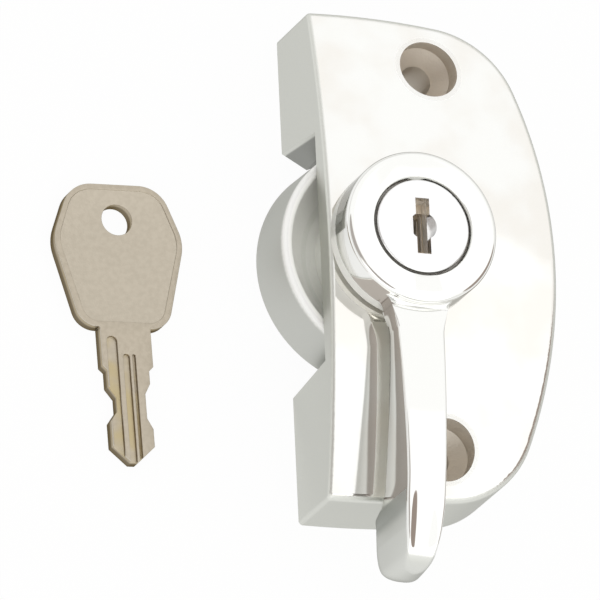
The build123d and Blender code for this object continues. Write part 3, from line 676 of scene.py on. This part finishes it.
# Rings and pins: a flat washer, a disc spring, the pins, the barrel's clip and the coil springs in
# zinc-plated steel, a black circlip, and a moulded nylon ring that gives the lever its drag. They
# are slipped over the hub or into their holes, and hardly show.
zinc_grey = "B9BABA"
phosphate_grey = "4A4A4C"
steel_edge = "808080"
nylon_white = "E9E8DF"
zinc_roughness = 0.35
phosphate_roughness = 0.5
nylon_roughness = 0.45
nylon_glow = 0.1
fine_grain = 0.00001
fine_grain_size = 0.0002
mould_skin_size = 0.0004

# Zinc plate on steel: a soft grey shine. Its crystals are too fine to show and are drawn 0.2 mm wide.
zinc_plate, place = empty_material("zinc_plated_steel")
metal(
    zinc_plate,
    linear(zinc_grey),
    zinc_roughness,
    chrome_edge,
    place,
    grain=fine_grain,
    grain_size=fine_grain_size,
)
dress(zinc_plate, "cam_washer", "disc_spring", "barrel_pin", "locking_pin", "plug_clip")
dress(zinc_plate, "upper_wafer_springs", "lower_wafer_springs")

# Phosphated spring steel: a dull, oiled black.
phosphate, place = empty_material("phosphated_spring_steel")
metal(
    phosphate,
    linear(phosphate_grey),
    phosphate_roughness,
    steel_edge,
    place,
    grain=fine_grain,
    grain_size=fine_grain_size,
)
dress(phosphate, "circlip")

# Natural nylon: a milky white that lets a little light in, with the mould's faint 0.4 mm texture.
nylon, place = empty_material("natural_nylon")
tree = nylon.node_tree
mould_skin = add_node(tree, "ShaderNodeTexNoise", {"Scale": 1 / mould_skin_size}, Vector=place)
mould_bump = add_node(tree, "ShaderNodeBump", {"Distance": fine_grain}, Height=mould_skin.outputs["Fac"])
plastic = add_node(
    tree,
    "ShaderNodeBsdfPrincipled",
    {"Base Color": linear(nylon_white), "Roughness": nylon_roughness, "Subsurface Weight": nylon_glow},
    Normal=mould_bump.outputs["Normal"],
)
add_node(tree, "ShaderNodeOutputMaterial", Surface=plastic.outputs["BSDF"])
dress(nylon, "friction_washer")

# Barrel and sleeve: turned brass, the barrel held in its sleeve by a lip and a clip. The barrel's
# face is chromed and lightly brushed, its slot is bare metal, and the sleeve's plate is left dull.
sleeve_grey = "BDB9B4"
slot_brass = "EFE9DF"
face_chrome = "F4F4F4"
face_edge = "C8C8C8"
face_from = 0.0222
face_to = 0.0226
sleeve_roughness = 0.35
face_roughness = 0.22
sleeve_metallic = 0.2
slot_metallic = 0.25
brushed_grain = 0.000004

# Dull plate: a flat grey ring that hardly mirrors.
dull_sleeve, place = empty_material("dull_turned_sleeve")
metal(
    dull_sleeve,
    linear(sleeve_grey),
    sleeve_roughness,
    steel_edge,
    place,
    metallic=sleeve_metallic,
    grain=fine_grain,
)
dress(dull_sleeve, "lock_sleeve")

# Brushed chrome on the barrel's face: a soft bright white. The brushing is drawn 0.2 mm wide, since
# the real strokes are too fine to show. Bare brass in the slot: pale, and mostly lit by its walls.
plug_plate, place = empty_material("chromed_brass_barrel")
tree = plug_plate.node_tree
height = add_node(tree, "ShaderNodeSeparateXYZ", Vector=place).outputs["Z"]
on_face = add_node(
    tree, "ShaderNodeMapRange", soft_edge | {"From Min": face_from, "From Max": face_to}, Value=height
).outputs["Result"]
colour = add_node(
    tree, "ShaderNodeMix", {"data_type": "RGBA", 6: linear(slot_brass), 7: linear(face_chrome)}, in0=on_face
)
metal(
    plug_plate,
    colour.outputs[2],
    face_roughness,
    face_edge,
    place,
    grain=brushed_grain,
    grain_size=fine_grain_size,
    metallic=add_node(tree, "ShaderNodeMix", {2: slot_metallic, 3: 1.0}, in0=on_face).outputs[0],
)
dress(plug_plate, "plug")

# Wafers: thin stamped brass plates that slide in the barrel's slits, each on its own spring. They
# are seen edge on in the key slot, where their cut brass looks pale and hardly shines.
wafer_pale_brass = "F5E8D4"
brass_edge = "9A8A70"
wafer_roughness = 0.35
wafer_metallic = 0.3

wafer_brass, place = empty_material("stamped_brass_wafer")
metal(
    wafer_brass,
    linear(wafer_pale_brass),
    wafer_roughness,
    brass_edge,
    place,
    grain=fine_grain,
    metallic=wafer_metallic,
)
dress(wafer_brass, *[name for name in nodes if "_wafer_" in name and name[-1].isdigit()])

# Key: stamped brass blank with worn nickel plate, its sharp edges eased by tumbling. The brass shows through
# in its grooves, handling has left the plate mottled, and its rim's edge carries a painted highlight.
key_ease = 0.00006
ease_segments = 3
sharp_angle = math.radians(28)
nickel = "BFB5A4"
nickel_dark = "B7AD9C"
# Painted highlight: the rim's edge is painted lighter. Painted shade: the walls are painted darker low down.
nickel_edge_highlight = "DBD4C6"
nickel_wall_shade = "8E8473"
nickel_tint = "8E8676"
worn_brass = "BDAE8A"
nickel_roughness = 0.38
nickel_grain = 0.00002
nickel_grain_size = 0.00025
mottle_size = 0.0007
mottle_levels = (0.3, 0.7)
patch_size = 0.004
patch_levels = (0.3, 0.65)
wall_heights = (0.0015, 0.0010)
groove_floor = 0.0016
groove_fade = 0.0001
edge_heights = (0.00194, 0.00198, 0.00205, 0.00210)

# Worn nickel: a soft brown grey that hardly mirrors, with a painted shade low on the walls, a painted
# highlight along the rim's edge, and brassy in patches about 4 mm wide in the grooves. Handling marks of 0.7
# mm mottle it. The stamped grain is drawn 0.25 mm wide, since the real one is too fine to show.
worn_nickel, place = empty_material("worn_nickel_on_brass_key")
tree = worn_nickel.node_tree
height = add_node(tree, "ShaderNodeSeparateXYZ", Vector=place).outputs["Z"]
mottle = add_node(tree, "ShaderNodeTexNoise", {"Scale": 1 / mottle_size, "Detail": 4.0}, Vector=place)
patches = add_node(tree, "ShaderNodeTexNoise", {"Scale": 1 / patch_size, "Detail": 2.0}, Vector=place)
low_wall_shade, above_recess, below_top, below_face, above_walls, mottled, patchy = (
    add_node(
        tree, "ShaderNodeMapRange", soft_edge | {"From Min": outside, "From Max": inside}, Value=value
    ).outputs["Result"]
    for value, outside, inside in (
        (height, wall_heights[0], wall_heights[1]),
        (height, edge_heights[0], edge_heights[1]),
        (height, edge_heights[3], edge_heights[2]),
        (height, groove_floor + groove_fade, groove_floor),
        (height, groove_floor - 2 * groove_fade, groove_floor - groove_fade),
        (mottle.outputs["Fac"], mottle_levels[0], mottle_levels[1]),
        (patches.outputs["Fac"], patch_levels[0], patch_levels[1]),
    )
)
on_edge_highlight = add_node(
    tree, "ShaderNodeMath", {"operation": "MULTIPLY"}, in0=above_recess, in1=below_top
).outputs[0]
in_groove = add_node(
    tree, "ShaderNodeMath", {"operation": "MULTIPLY"}, in0=below_face, in1=above_walls
).outputs[0]
worn = add_node(tree, "ShaderNodeMath", {"operation": "MULTIPLY"}, in0=in_groove, in1=patchy).outputs[0]
colour = add_node(
    tree, "ShaderNodeMix", {"data_type": "RGBA", 6: linear(nickel_dark), 7: linear(nickel)}, in0=mottled
)
# Painted shade low on the walls, a painted highlight on the rim's edge, and worn brass in the grooves.
for layer, where in ((nickel_wall_shade, low_wall_shade), (nickel_edge_highlight, on_edge_highlight), (worn_brass, worn)):
    colour = add_node(
        tree, "ShaderNodeMix", {"data_type": "RGBA", 7: linear(layer)}, in0=where, in6=colour.outputs[2]
    )
metal(
    worn_nickel,
    colour.outputs[2],
    nickel_roughness,
    nickel_tint,
    place,
    grain=nickel_grain,
    grain_size=nickel_grain_size,
)
dress(worn_nickel, "key")

blank = bmesh.new()
blank.from_mesh(nodes["key"].data)
bmesh.ops.remove_doubles(blank, verts=blank.verts, dist=merge_distance)
bmesh.ops.dissolve_limit(blank, angle_limit=flat_angle, verts=blank.verts, edges=blank.edges)
bmesh.ops.bevel(
    blank,
    geom=[edge for edge in blank.edges if edge.is_manifold and edge.calc_face_angle() > sharp_angle],
    offset=key_ease,
    offset_type="OFFSET",
    segments=ease_segments,
    profile=0.5,
    affect="EDGES",
    clamp_overlap=False,
)
key_mesh = bpy.data.meshes.new("key_blank")
blank.to_mesh(key_mesh)
blank.free()
key_mesh.shade_smooth()
key_mesh.set_sharp_from_angle(angle=smooth_angle)
key_mesh.materials.clear()
key_mesh.materials.append(worn_nickel)
key = bpy.data.objects.new("key_blank", key_mesh)
scene.collection.objects.link(key)
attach(key, "key")
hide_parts("key")
